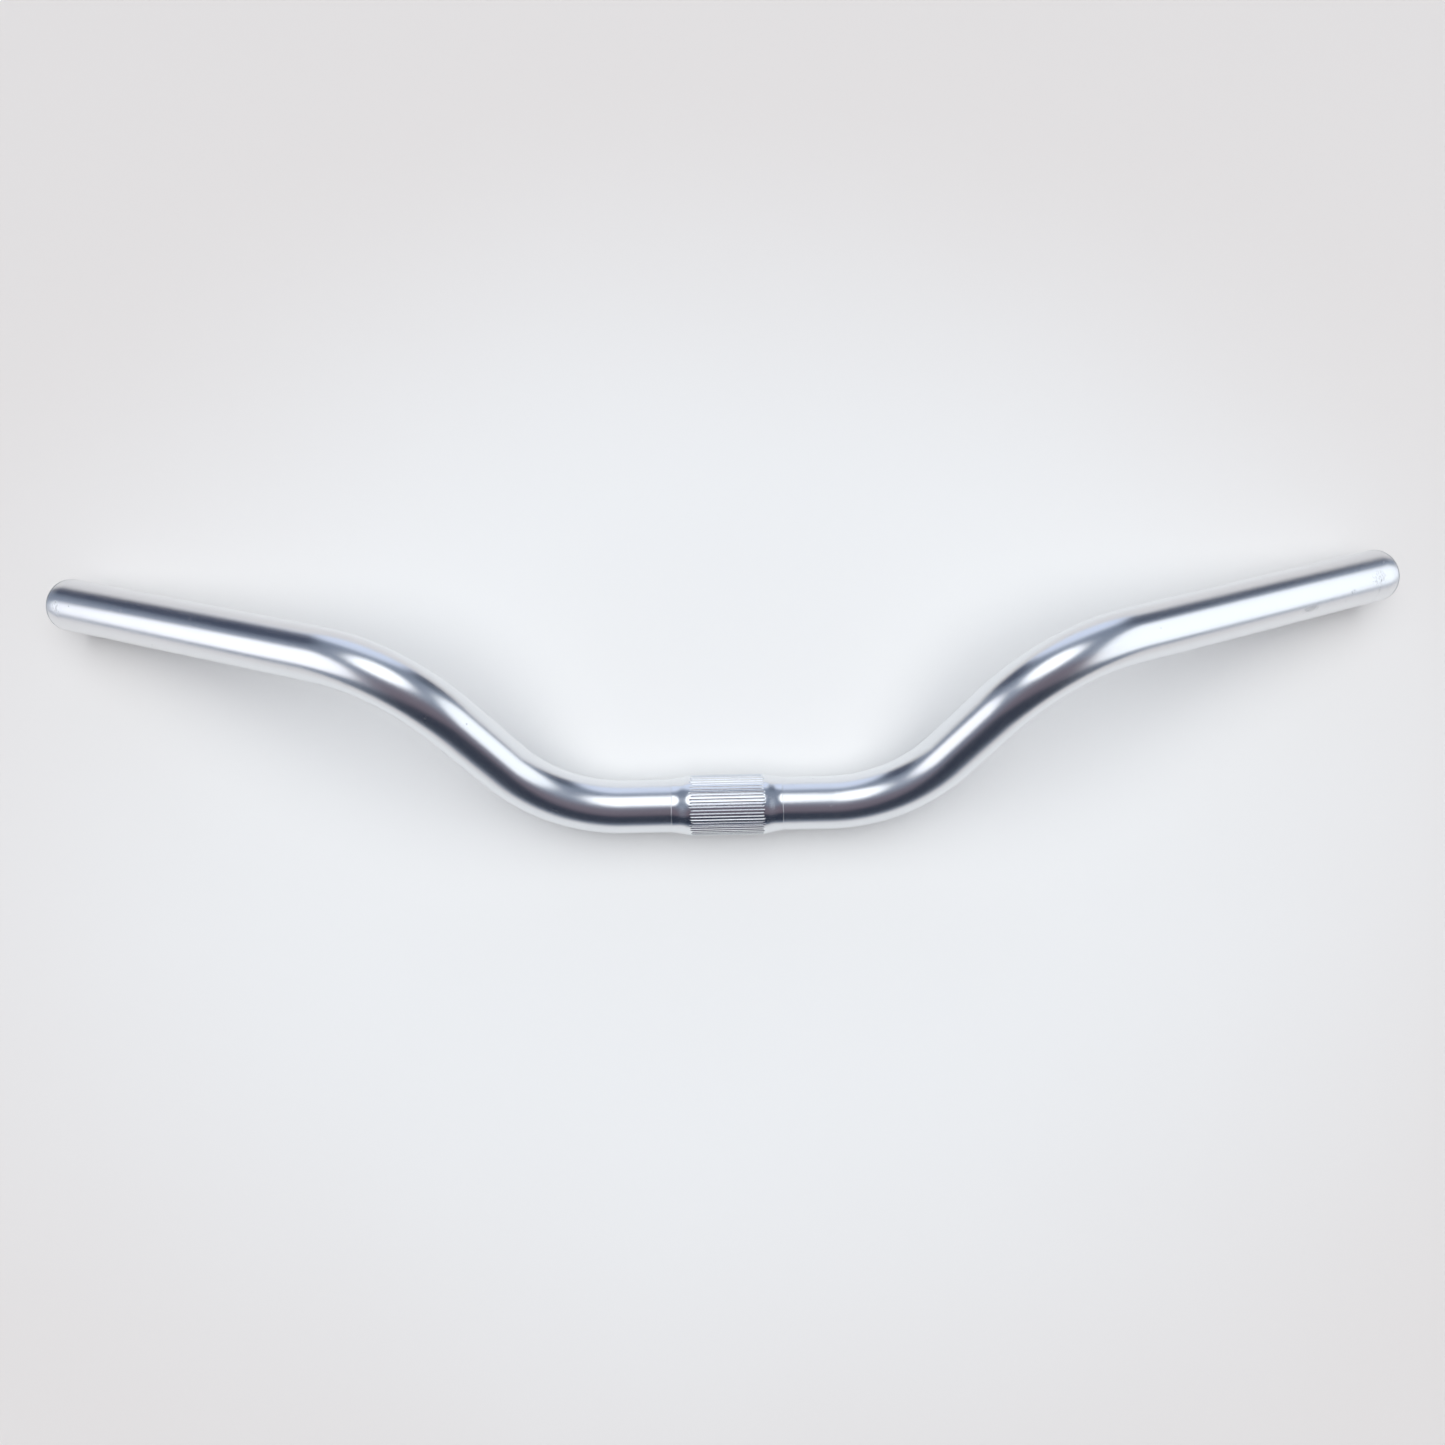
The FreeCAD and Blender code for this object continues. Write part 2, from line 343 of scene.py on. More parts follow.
@dataclass
class Centreline:
    """Points along the tube's axis with a section frame at each that doesn't twist.

    Attributes:
        points: places on the axis.
        along: unit tangents.
        rise: unit vectors across, towards the rise at the clamp.
        side: unit vectors across, along x rise.
        distance: distance along the axis from the clamp centre, negative on the left.
    """

    points: Array
    along: Array
    rise: Array
    side: Array
    distance: Array

    def ring(self, radius: Array | float, angles: Array, shift: Array | float = 0.0) -> tuple[Array, Array]:
        """Circles round every point: point + shift * along + radius * (cos a * rise + sin a * side).

        Args:
            radius: the circles' radius, the same for all or one per point.
            angles: the angles a.
            shift: how far the circles are moved along the tube, the same for all or one per point.

        Returns:
            The grid of points, and the same grid on the straightened tube.
        """
        shape = (len(self.points), len(angles))
        wide = np.broadcast_to(np.reshape(radius, (-1, 1)), shape)
        moved = np.broadcast_to(np.reshape(shift, (-1, 1)), shape)
        up, across = wide * np.cos(angles), wide * np.sin(angles)
        grid = (self.points[:, None] + moved[..., None] * self.along[:, None]
                + up[..., None] * self.rise[:, None] + across[..., None] * self.side[:, None])
        skin = np.stack([self.distance[:, None] + moved, up, across], axis=-1)
        return grid, skin

    def end(self, index: int, count: int) -> "Centreline":
        """The first point (index 0) or the last (index -1), repeated count times."""
        chosen = np.full(count, index)
        return self.picked(chosen)

    def picked(self, which: Array | slice) -> "Centreline":
        """Some of the points, with their section frames."""
        return Centreline(self.points[which], self.along[which], self.rise[which], self.side[which],
                          self.distance[which])


@dataclass
class BarTube:
    """The bent tube: its runs from the clamp centre to one end, mirrored for the other half.

    Attributes:
        radius, bore: its outside and inside radius.
        grip_axis: the way the right grip points in the row frame.
        clamp_half: half the straight length at the clamp.
        bend_radius: the radius of every bend, on the centreline.
        rise_bend, rise_straight: the bend that starts the rise, and the straight after it.
        grip_turn, grip_bend, grip_straight: the turn of the plane of bending, the bend that leads into a grip,
            and the grip's straight length.
        end_break: the rounding of the rims.
        columns: how many points a ring has.
        edge_rows: how many rings a rounding has.
    """

    radius: float
    bore: float
    grip_axis: Array
    clamp_half: float = 42.5 * MM
    bend_radius: float = 60.0 * MM
    rise_bend: float = math.radians(52.5)
    rise_straight: float = 27.5 * MM
    grip_turn: float = math.radians(26.5)
    grip_bend: float = math.radians(56.5)
    grip_straight: float = 134.0 * MM
    end_break: float = 0.4 * MM
    columns: int = 112
    edge_rows: int = 5

    def runs(self) -> list[Run]:
        """The stretches of one half, from the clamp centre outwards."""
        return [Run(length=self.clamp_half, samples=8),
                Run(bend=self.rise_bend, samples=48),
                Run(length=self.rise_straight, samples=6),
                Run(bend=self.grip_bend, turn=math.pi + self.grip_turn, samples=52),
                Run(length=self.grip_straight, samples=26)]

    def half(self) -> Centreline:
        """The right half's centreline, in the bar's own frame with +Z towards the rise.

        A straight run goes on along its tangent t. A bent run follows c + R (sin a * t + (1 - cos a) * n),
        where n points to the bend's centre, and carries its section frame round the axis t x n by the angle a.

        Returns:
            The half's centreline, from the clamp centre to the right end.
        """
        place, distance = np.zeros(3), 0.0
        section = np.array([[1.0, 0.0, 0.0], [0.0, 0.0, 1.0], [0.0, -1.0, 0.0]])
        bend_plane = 0.0
        parts: list[tuple[Array, Array, Array]] = []
        for run in self.runs():
            bend_plane += run.turn
            along = section[0]
            centre_way = math.cos(bend_plane) * section[1] + math.sin(bend_plane) * section[2]
            share = np.linspace(0.0, 1.0, run.samples + 1)[:, None]
            angle = share * run.bend
            if run.bend:
                path = self.bend_radius * (np.sin(angle) * along + (1.0 - np.cos(angle)) * centre_way)
                length = self.bend_radius * run.bend
            else:
                path, length = share * run.length * along, run.length
            frames = self.turned(section, np.cross(along, centre_way), angle[:, 0])
            parts.append((place + path, frames, distance + share[:, 0] * length))
            place, section, distance = parts[-1][0][-1], frames[-1], distance + length
        points = np.concatenate([points[min(k, 1):] for k, (points, _, _) in enumerate(parts)])
        frames = np.concatenate([frames[min(k, 1):] for k, (_, frames, _) in enumerate(parts)])
        distances = np.concatenate([far[min(k, 1):] for k, (_, _, far) in enumerate(parts)])
        return Centreline(points, frames[:, 0], frames[:, 1], frames[:, 2], distances)

    @staticmethod
    def turned(section: Array, axis: Array, angles: Array) -> Array:
        """A section frame turned about an axis k by angles a: each v becomes v cos a +
        (k x v) sin a + k (k . v)(1 - cos a).

        Args:
            section: the frame's three unit vectors.
            axis: the unit vector k.
            angles: the angles a.

        Returns:
            A turned frame for each angle.
        """
        cosine, sine = np.cos(angles)[:, None, None], np.sin(angles)[:, None, None]
        crossed = np.cross(axis, section)
        along_axis = (section @ axis)[:, None] * axis
        return section * cosine + crossed * sine + along_axis * (1.0 - cosine)

    def centreline(self) -> Centreline:
        """The whole bar's centreline in the row frame: the half and its mirror image, turned to rest."""
        right = self.half()
        flip, back = np.array([-1.0, 1.0, 1.0]), np.array([1.0, -1.0, -1.0])
        points = np.concatenate([(right.points * flip)[:0:-1], right.points])
        along = np.concatenate([(right.along * back)[:0:-1], right.along])
        rise = np.concatenate([(right.rise * flip)[:0:-1], right.rise])
        distance = np.concatenate([-right.distance[:0:-1], right.distance])
        grip = right.along[-1]
        angle = math.atan2(self.grip_axis[2], self.grip_axis[1]) - math.atan2(grip[2], grip[1])
        rest = np.array([[1.0, 0.0, 0.0],
                         [0.0, math.cos(angle), -math.sin(angle)],
                         [0.0, math.sin(angle), math.cos(angle)]])
        points, along, rise = points @ rest.T, along @ rest.T, rise @ rest.T
        return Centreline(points, along, rise, np.cross(along, rise), distance)

    def build(self, collection: bpy.types.Collection) -> bpy.types.Object:
        """Builds the tube's skin: the outside from left to right, round the rim, and back along the bore.

        Args:
            collection: where the tube is linked.

        Returns:
            The tube.
        """
        line = self.centreline()
        angles = np.linspace(0.0, 2.0 * math.pi, self.columns, endpoint=False)
        short, under = quarter_round(self.end_break, self.edge_rows)
        body = line.picked(slice(1, -1))
        right, left = line.end(-1, self.edge_rows), line.end(0, self.edge_rows)
        strips = [body.ring(self.radius, angles),
                  right.ring(self.radius - under, angles, -short),
                  right.ring((self.bore + under)[::-1], angles, -short[::-1]),
                  self.reversed(body.ring(self.bore, angles)),
                  left.ring(self.bore + under, angles, short),
                  left.ring((self.radius - under)[::-1], angles, short[::-1])]
        rows = np.concatenate([grid for grid, _ in strips])
        skin = np.concatenate([flat for _, flat in strips])
        return closed_skin("bar_tube_skin", rows, skin, collection)

    @staticmethod
    def reversed(strip: tuple[Array, Array]) -> tuple[Array, Array]:
        """A strip of rows in the opposite order."""
        grid, flat = strip
        return grid[::-1], flat[::-1]


# --- The sleeve -------------------------------------------------------------------------------------------


@dataclass
class ClampSleeve:
    """The knurled sleeve: a land between two ramps that run down to thin rims, with straight rolled grooves.

    Attributes:
        radius, bore: its largest and its inside radius.
        half_length, land_half: half its length, and half the land's.
        bow: the share of a ramp that is curved at each end.
        lip, lip_length: the wall's thickness at the rim, and the length that keeps it.
        knurl_half, knurl_count, knurl_depth: half the grooves' length, their number and their depth.
        mouth, floor: a groove's width at its top and bottom.
        ragged: how much the grooves' ends differ.
        run_out: the length over which a groove's end fades.
        uneven_depth: the share by which the grooves' depths differ.
        rim_wave: how far the rims wander along the tube.
        right_ends, left_ends, rim_shape: the ripples of the grooves' two ends and of the rims.
        columns_per_groove: how many points a ring has for each groove.
    """

    radius: float
    bore: float
    half_length: float
    land_half: float = 14.2 * MM
    bow: float = 0.4
    lip: float = 0.3 * MM
    lip_length: float = 0.6 * MM
    knurl_half: float = 15.6 * MM
    knurl_count: int = 56
    knurl_depth: float = 0.3 * MM
    mouth: float = 0.6 * MM
    floor: float = 0.24 * MM
    ragged: float = 0.45 * MM
    run_out: float = 1.3 * MM
    uneven_depth: float = 0.15
    rim_wave: float = 0.16 * MM
    right_ends: tuple[Ripple, ...] = (Ripple(0.6, 2.4, 0.7), Ripple(0.4, 5.3, 1.9))
    left_ends: tuple[Ripple, ...] = (Ripple(0.6, 3.1, 2.1), Ripple(0.4, 4.7, 0.4))
    rim_shape: tuple[Ripple, ...] = (Ripple(0.5, 3.0, 0.5), Ripple(0.3, 7.0, 1.3), Ripple(0.2, 17.0))
    columns_per_groove: int = 12

    def outline(self, x: Array) -> Array:
        """The turned radius at each distance from the middle, before the knurl.

        The land is level, and a ramp leads down from it to the lip. With t from 0 to 1 along the ramp, its fall
        is steepest * t^2 / (2 bow) while t is under bow, mirrored at the foot, and straight between, where
        steepest is 1 / (1 - bow).

        Args:
            x: distances from the middle along the bar.

        Returns:
            A radius for each distance.
        """
        foot = self.half_length - self.lip_length
        low = self.bore + self.lip
        t = np.clip((np.abs(x) - self.land_half) / (foot - self.land_half), 0.0, 1.0)
        steepest = 1.0 / (1.0 - self.bow)
        crown = steepest * t ** 2 / (2.0 * self.bow)
        cone = steepest * (t - self.bow / 2.0)
        hollow = 1.0 - steepest * (1.0 - t) ** 2 / (2.0 * self.bow)
        fall = np.where(t < self.bow, crown, np.where(t > 1.0 - self.bow, hollow, cone))
        return self.radius - (self.radius - low) * fall

    def knurl(self, x: Array, angles: Array) -> Array:
        """Depth of the grooves on the grid of x and angle.

        Across, a groove is a smooth step from its mouth down to its floor. Along, it fades out over run_out at
        an end that differs from groove to groove, as rolled grooves do, and its depth differs slightly too.

        Args:
            x: distances from the middle along the bar.
            angles: angles round it.

        Returns:
            A depth for each distance and angle.
        """
        pitch = 2.0 * math.pi / self.knurl_count
        count = (angles + math.pi / 2) / pitch
        number = np.floor(count)
        across = np.abs(count - number - 0.5) * pitch * self.radius
        flank = (self.mouth - self.floor) / 2
        section = smooth((self.mouth / 2 - across) / flank)
        right, left = rippled(number, self.right_ends), rippled(number, self.left_ends)
        end = self.knurl_half + self.ragged * np.where(x[:, None] > 0.0, right, left)
        fade = smooth((end - np.abs(x)[:, None]) / self.run_out)
        return self.knurl_depth * (1.0 + self.uneven_depth * left) * section * fade

    def stations(self) -> Array:
        """Distances from the middle that the sleeve is ruled at, closest where grooves end and ramps bend."""
        foot = self.half_length - self.lip_length
        groove_end = self.knurl_half - self.ragged - self.run_out
        right = np.concatenate([np.linspace(0.0, groove_end, 7)[:-1],
                                np.linspace(groove_end, self.knurl_half + self.ragged, 16)[:-1],
                                np.linspace(self.knurl_half + self.ragged, foot, 18)[:-1],
                                np.linspace(foot, self.half_length, 4)])
        return np.concatenate([-right[:0:-1], right])

    def build(self, collection: bpy.types.Collection) -> bpy.types.Object:
        """Builds the sleeve's closed skin: its outside from left to right, round its wavy rims, and its bore.

        A point at distance x and radius r lies at (x + shift, r cos a, r sin a), where shift is the rim's wave,
        which fades out over three lip lengths.

        Args:
            collection: where the sleeve is linked.

        Returns:
            The sleeve.
        """
        columns = self.knurl_count * self.columns_per_groove
        angles = np.linspace(-math.pi / 2, 1.5 * math.pi, columns, endpoint=False)
        x = self.stations()
        outside = self.outline(x)[:, None] - self.knurl(x, angles)
        wave = self.rim_wave * (rippled(angles, self.rim_shape) - 1.0)
        fading = 3.0 * self.lip_length
        nearness = smooth((np.abs(x) - (self.half_length - fading)) / fading)
        shift = np.sign(x)[:, None] * nearness[:, None] * wave
        half_wall = np.full(columns, self.bore + self.lip / 2.0)
        inside = np.full(columns, self.bore)
        rim = self.half_length
        rows_x = np.concatenate([x, [rim, rim, -rim, -rim]])
        rows_r = np.concatenate([outside, [half_wall, inside, inside, half_wall]])
        rows_shift = np.concatenate([shift, [wave, wave, -wave, -wave]])
        grid = np.stack([rows_x[:, None] + rows_shift,
                         rows_r * np.cos(angles),
                         rows_r * np.sin(angles)], axis=-1)
        outwards = grid[:, ::-1]
        return closed_skin("clamp_sleeve_skin", outwards, outwards, collection)


# --- Finishes ---------------------------------------------------------------------------------------------


@dataclass(frozen=True)
class Scuff:
    """A patch of short scratches, or a broken line of them, left by a clamp or a knock.

    Attributes:
        distance: its middle's distance along the tube from the clamp centre.
        angle_degrees: its middle's angle round the section, from the side that rises at the clamp.
        half_along, half_round: its half lengths along the tube and round it.
        strength: how deep it is, up to 1.
    """

    distance: float
    angle_degrees: float
    half_along: float
    half_round: float
    strength: float


@dataclass(frozen=True)
class PolishedAlloy:
    """Polished, clear-anodised aluminium with faint drawing lines, and pinholes and scuffs near its ends.

    Attributes:
        name: the material's name.
        radius: the outside radius of the tube under it.
        colour, worn_colour: the metal, and the darker colour of its scratches, its pinholes and its cut ends.
        gloss, haze: the roughness, and how much it varies from place to place.
        scuffs: the scuffed patches.
        pit_start: how far along the tube pinholes begin to thicken.
        cut_at: how far along the tube its cut end is.
    """

    name: str
    radius: float
    colour: Colour = (0.855, 0.87, 0.885)
    worn_colour: Colour = (0.30, 0.31, 0.33)
    gloss: float = 0.25
    haze: float = 0.05
    scuffs: tuple[Scuff, ...] = ()
    pit_start: float = 1.0
    cut_at: float = 2.0

    def scratches(self, board: Board, place: tuple[Signal, Signal, Signal], speckle: Signal) -> Signal:
        """The scuffs: where a speckle is high, inside an oval round each scuff's middle.

        The oval distance is the root of (along / half_along)^2 + (chord / half_round)^2, where chord is the
        straight distance across the section.

        Args:
            board: the material's board.
            place: the place along the straightened tube, and its two cross coordinates.
            speckle: noise round 0.5.

        Returns:
            How scratched the metal is, from 0 to 1.
        """
        along, up, across = place
        total: Signal | float = 0.0
        for scuff in self.scuffs:
            angle = math.radians(scuff.angle_degrees)
            off_up = up - self.radius * math.cos(angle)
            off_across = across - self.radius * math.sin(angle)
            far_along = (along - scuff.distance) / scuff.half_along
            far_round = (off_up * off_up + off_across * off_across).root() / scuff.half_round
            away = (far_along * far_along + far_round * far_round).root()
            shown = board.step(away, 1.3, 0.5) * scuff.strength
            total = board.math("MAXIMUM", shown, total)
        return board.step(speckle, 0.49, 0.56) * total

    def pits(self, board: Board, skin: bpy.types.NodeSocket, along: Signal) -> Signal:
        """Pinholes in the middles of a few fine Voronoi cells, which thicken towards the tube's ends."""
        cells = board.node("ShaderNodeTexVoronoi", {"feature": "F1"}, {"Vector": skin, "Scale": 420.0})
        hole = board.step(Signal(board, cells.outputs["Distance"]), 0.16, 0.08)
        chosen, _, _ = board.split(cells.outputs["Color"])
        near_end = board.step(abs(along), self.pit_start, self.cut_at)
        rare = board.step(chosen + near_end * 0.05, 0.985, 0.99)
        return hole * rare * 0.6

    def material(self) -> bpy.types.Material:
        """The finish as a node material that reads the piece's straightened coordinates."""
        material, board = new_material(self.name)
        skin = board.node("ShaderNodeAttribute", {"attribute_name": "straightened"}).outputs["Vector"]
        place = board.split(skin)
        lines = board.noise(board.stretched(skin, (40.0, 2200.0, 2200.0)), 1.0, 2.0)
        cloud = board.noise(skin, 38.0, 4.0)
        grain = board.noise(skin, 2600.0, 1.0)
        speckle = board.noise(board.stretched(skin, (1700.0, 900.0, 900.0)), 1.0, 2.0)
        # A band about a millimetre wide at each cut end, taking in the end face and the edge of the bore, is
        # darkened towards worn_colour and made duller.
        cut_edge = 0.8 * board.step(abs(place[0]), self.cut_at - 1.0 * MM, self.cut_at - 0.5 * MM)
        pits = self.pits(board, skin, place[0])
        marks = self.scratches(board, place, speckle).at_least(pits).at_least(cut_edge)
        roughness = self.gloss + self.haze * (cloud - 0.5) + 0.06 * (lines - 0.5) + 0.25 * marks
        height = 0.3 * lines + 0.25 * grain - 3.0 * marks
        bump = board.node("ShaderNodeBump",
                          inputs={"Strength": 0.06, "Distance": 0.05 * MM, "Height": height})
        shader = board.node("ShaderNodeBsdfPrincipled", inputs={
            "Base Color": board.mix(marks * 0.9, self.colour, self.worn_colour),
            "Metallic": 1.0,
            "Roughness": roughness,
            "Normal": bump.outputs[0]})
        board.node("ShaderNodeOutputMaterial", inputs={"Surface": shader.outputs[0]})
        return material


@dataclass(frozen=True)
class TableTop:
    """A matt white table top with a faint mottle, painted lighter and cooler under the bar as painted light,
    and painted darker and warmer further out as painted shade where the light falls off.
    """

    name: str = "table_white"
    # middle is painted light under the bar; outside is painted shade further out, and the step between them
    # starts and ends at the two distances below.
    middle: Colour = (0.865, 0.865, 0.84)
    outside: Colour = (0.78, 0.745, 0.705)
    painted_shade_start: float = 0.12
    painted_shade_full: float = 0.34

    def material(self) -> bpy.types.Material:
        """The table's node material."""
        material, board = new_material(self.name)
        place = board.node("ShaderNodeTexCoord").outputs["Object"]
        x, y, _ = board.split(place)
        away = (x * x * 0.6 + y * y).root() + 0.06 * (board.noise(place, 4.0) - 0.5)
        # Painted shade: the base colour darkens and warms from the middle outwards, standing for light that
        # falls off away from the lamps.
        shader = board.node("ShaderNodeBsdfPrincipled", inputs={
            "Base Color": board.mix(board.step(away, self.painted_shade_start, self.painted_shade_full), self.middle, self.outside),
            "Roughness": 0.6,
            "Specular IOR Level": 0.2})
        board.node("ShaderNodeOutputMaterial", inputs={"Surface": shader.outputs[0]})
        return material


# --- Studio -----------------------------------------------------------------------------------------------


@dataclass(frozen=True)
class Patch:
    """A soft-edged oval of the surroundings, on a map with the zenith in its middle.

    A direction's distance from the map's middle is its angle from the zenith.

    Attributes:
        name: what it is.
        right, back: its centre, in degrees towards +X and +Y.
        half_right, half_back: its half widths, in degrees.
        soft: the share of its half width over which its edge fades.
        colour: its light.
        lean: how many degrees it is turned anticlockwise on the map.
    """

    name: str
    right: float
    back: float
    half_right: float
    half_back: float
    soft: float
    colour: Colour
    lean: float = 0.0


@dataclass(frozen=True)
class Softbox:
    """An oval lamp that faces the bar's middle and shows in its polish. The table light lights the table.

    Attributes:
        name: what it is.
        right, back: the way to it, in degrees from the zenith towards +X and +Y.
        distance: how far off it is.
        half_high, half_wide: its half widths as angles in degrees, up and down and side to side.
        glow: its radiance, where 1 shows as white.
        colour: its tint.
    """

    name: str
    right: float
    back: float
    distance: float
    half_high: float
    half_wide: float
    glow: float
    colour: Colour = (1.0, 1.0, 1.0)

    def hang(self, collection: bpy.types.Collection) -> None:
        """Makes the lamp. An oval of area A gives the radiance glow when its power is glow * pi * A."""
        zenith = math.radians(math.hypot(self.right, self.back))
        heading = math.atan2(self.back, self.right)
        level = math.sin(zenith)
        way = Vector((level * math.cos(heading), level * math.sin(heading), math.cos(zenith)))
        data = bpy.data.lights.new(self.name, "AREA")
        data.shape = "ELLIPSE"
        data.size = 2.0 * self.distance * math.tan(math.radians(self.half_wide))
        data.size_y = 2.0 * self.distance * math.tan(math.radians(self.half_high))
        data.energy = self.glow * math.pi * (math.pi / 4.0 * data.size * data.size_y)
        data.color = self.colour
        lamp = bpy.data.objects.new(self.name, data)
        lamp.location = way * self.distance
        lamp.rotation_euler = (-way).to_track_quat("-Z", "Y").to_euler()
        lamp.visible_diffuse = False
        collection.objects.link(lamp)


@dataclass(frozen=True)
class TableLight:
    """A broad, even light from above, which lights the table but isn't mirrored in the polish."""

    name: str = "table_light"
    strength: float = 2.5
    spread_degrees: float = 84.0
    lean_back_degrees: float = 10.0

    def hang(self, collection: bpy.types.Collection) -> None:
        """Makes the light, which comes from the zenith leant back towards +Y."""
        data = bpy.data.lights.new(self.name, "SUN")
        data.energy = self.strength
        data.angle = math.radians(self.spread_degrees)
        light = bpy.data.objects.new(self.name, data)
        light.rotation_euler = (-math.radians(self.lean_back_degrees), 0.0, 0.0)
        light.visible_glossy = False
        collection.objects.link(light)


@dataclass
class Studio:
    """The room's light: a soft lamp on each side and one overhead, in a dim room with a paler far wall."""

    room: Colour = (0.20, 0.24, 0.32)
    backdrop: Colour = (0.90, 0.91, 0.93)
    patches: tuple[Patch, ...] = (
        Patch("far_wall", 0, 80, 50, 21, 0.3, (0.72, 0.80, 0.98)),
        Patch("dim_corner_left", -56, 60, 17, 26, 0.3, (0.025, 0.035, 0.075), 12),
        Patch("dim_corner_right", 50, 66, 17, 21, 0.35, (0.045, 0.06, 0.10), -25),
        Patch("figure_shade", 4, -36, 42, 30, 0.4, (0.16, 0.135, 0.17)),
        Patch("figure", 2, -60, 58, 20, 0.3, (0.028, 0.036, 0.058)))
    softboxes: tuple[Softbox, ...] = (
        Softbox("lamp_left", -61, -7, 1.1, 22, 22, 1.06, (1.0, 0.98, 0.985)),
        Softbox("lamp_right", 61, 1, 1.1, 25, 30, 0.97, (0.985, 1.0, 1.0)),
        Softbox("lamp_overhead", -6, 21, 1.1, 21, 22, 1.22))
    table_light: TableLight = TableLight()
    table_size: float = 40.0

    def light(self, collection: bpy.types.Collection) -> None:
        """The lamps, and the world: patches over the room's tone, and a pale backdrop behind the table."""
        world = bpy.data.worlds.new("studio")
        bpy.context.scene.world = world
        world.use_nodes = True
        board = Board(world.node_tree)
        way = board.node("ShaderNodeTexCoord").outputs["Generated"]
        x, y, z = board.split(way)
        from_zenith = board.math("ARCCOSINE", z.at_most(1.0).at_least(-1.0)) * (180.0 / math.pi)
        level = (x * x + y * y).root().at_least(1e-5)
        right, back = from_zenith * x / level, from_zenith * y / level
        shade: Any = self.room
        for patch in self.patches:
            shade = board.mix(self.cover(board, right, back, patch), shade, patch.colour)
        lit = board.node("ShaderNodeBackground", inputs={"Color": shade, "Strength": 1.0})
        seen = board.node("ShaderNodeBackground", inputs={"Color": opaque(self.backdrop), "Strength": 1.0})
        to_camera = board.node("ShaderNodeLightPath").outputs["Is Camera Ray"]
        both = board.node("ShaderNodeMixShader", inputs={0: to_camera, 1: lit.outputs[0], 2: seen.outputs[0]})
        board.node("ShaderNodeOutputWorld", inputs={"Surface": both.outputs[0]})
        for softbox in self.softboxes:
            softbox.hang(collection)
        self.table_light.hang(collection)

    @staticmethod
    def cover(board: Board, right: Signal, back: Signal, patch: Patch) -> Signal:
        """1 inside a patch and 0 outside: a smooth step on the oval distance from its centre."""
        turn = math.radians(patch.lean)
        off_right, off_back = right - patch.right, back - patch.back
        first = (off_right * math.cos(turn) + off_back * math.sin(turn)) / patch.half_right
        second = (off_back * math.cos(turn) - off_right * math.sin(turn)) / patch.half_back
        away = (first * first + second * second).root()
        return board.step(away, 1.0 + patch.soft, 1.0 - patch.soft)

    def table(self, height: float, collection: bpy.types.Collection) -> bpy.types.Object:
        """The table top at a height, as a flat sheet that isn't part of the object."""
        half = self.table_size / 2
        corners = [(-half, -half, height), (half, -half, height), (half, half, height), (-half, half, height)]
        mesh = bpy.data.meshes.new("table_top")
        mesh.from_pydata(corners, [], [(0, 1, 2, 3)])
        mesh.materials.append(TableTop().material())
        top = bpy.data.objects.new("table_top", mesh)
        collection.objects.link(top)
        top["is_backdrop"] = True
        return top


@dataclass
class Viewpoint:
    """The camera, nearly overhead and a little nearer than the bar's middle."""

    place: tuple[float, float, float] = (-0.85 * MM, -1.67 * MM, 406.83 * MM)
    tilt_degrees: tuple[float, float, float] = (5.094, 0.160, -1.275)
    lens_mm: float = 24.05
    sensor_mm: float = 36.0

    def set_up(self, collection: bpy.types.Collection) -> None:
        """Makes the camera and gives it to the scene."""
        data = bpy.data.cameras.new("viewpoint")
        data.lens, data.sensor_width = self.lens_mm, self.sensor_mm
        data.clip_start = 0.01
        camera = bpy.data.objects.new("viewpoint", data)
        camera.location = self.place
        camera.rotation_euler = tuple(math.radians(angle) for angle in self.tilt_degrees)
        collection.objects.link(camera)
        bpy.context.scene.camera = camera


# --- Assembly ---------------------------------------------------------------------------------------------


def mounts() -> dict[str, dict[str, Any]]:
    """The record's mounts by name."""
    return {mount["name"]: mount for mount in frame["record"]["mounts"]}


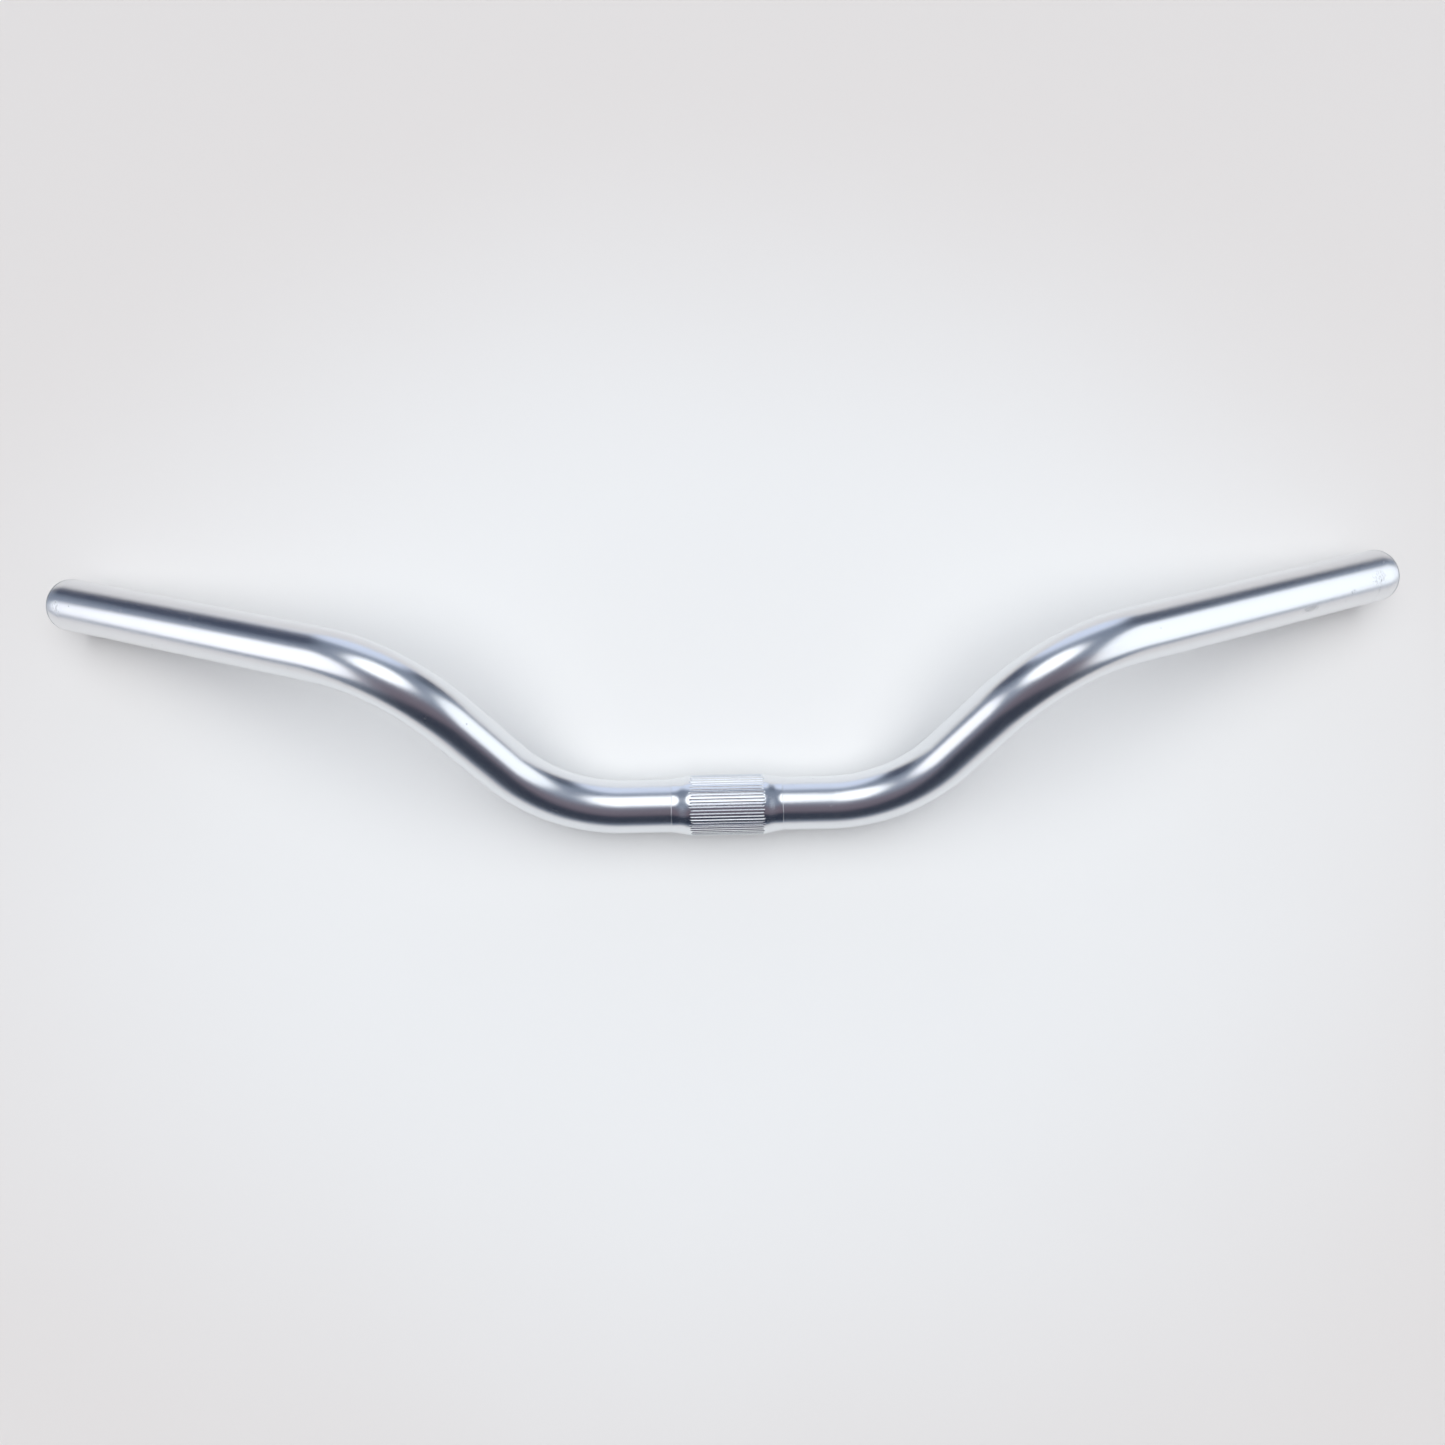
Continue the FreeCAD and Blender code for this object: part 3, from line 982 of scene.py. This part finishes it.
@dataclass
class Handlebar:
    """The whole bar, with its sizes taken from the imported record's mounts and nodes."""

    collection: bpy.types.Collection
    made: list[bpy.types.Object] = field(default_factory=list)

    def add(self, piece: bpy.types.Object, node: Node, slot: Slot, finish: PolishedAlloy) -> None:
        """Gives a piece its finish, puts it under the body and hides the node that it stands for."""
        piece.data.materials.append(finish.material())
        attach(piece, BODY)
        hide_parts(node.value)
        self.made.append(piece)
        LOG.info("%s stands for %s with %d faces", piece.name, node.value, len(piece.data.polygons))

    def build(self) -> None:
        """Builds and dresses the tube and the sleeve."""
        named = mounts()
        radius = named["grip_right"]["dims"]["r_mm"] * MM
        tube = BarTube(radius=radius,
                       bore=named["end_bore_right"]["dims"]["r_mm"] * MM,
                       grip_axis=np.array(named["grip_right"]["axis"]))
        line = tube.centreline()
        tube_end = float(line.distance[-1])
        marks = (Scuff(tube_end - 11.0 * MM, 95, 0.35 * MM, 6.5 * MM, 1.0),
                 Scuff(tube_end - 50.0 * MM, 100, 4.5 * MM, 1.8 * MM, 0.7),
                 Scuff(tube_end - 27.0 * MM, 85, 1.3 * MM, 1.1 * MM, 0.8),
                 Scuff(tube_end - 12.0 * MM, 70, 4.0 * MM, 3.0 * MM, 0.35),
                 Scuff(6.0 * MM - tube_end, 75, 2.0 * MM, 3.0 * MM, 0.4))
        self.add(tube.build(self.collection), Node.TUBE, Slot.TUBE,
                 PolishedAlloy("polished_alloy", radius, scuffs=marks, pit_start=tube_end - 90 * MM,
                               cut_at=tube_end))

        low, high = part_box(Node.SLEEVE.value)
        clamp = named["stem_clamp"]["dims"]
        sleeve = ClampSleeve(radius=clamp["r_mm"] * MM, bore=radius, half_length=(high.x - low.x) / 2)
        self.add(sleeve.build(self.collection), Node.SLEEVE, Slot.SLEEVE,
                 PolishedAlloy("knurled_alloy", radius, gloss=0.2))


def main() -> None:
    """Builds the bar, its table, its light and its camera."""
    logging.basicConfig(level=logging.INFO, format="%(name)s: %(message)s")
    cad_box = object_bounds()
    collection = bpy.context.scene.collection
    Viewpoint().set_up(collection)
    studio = Studio()
    studio.light(collection)
    studio.table(cad_box[0].z, collection)
    Handlebar(collection).build()
    bpy.context.scene.view_settings.view_transform = "Standard"


if __name__ == "__main__":
    main()
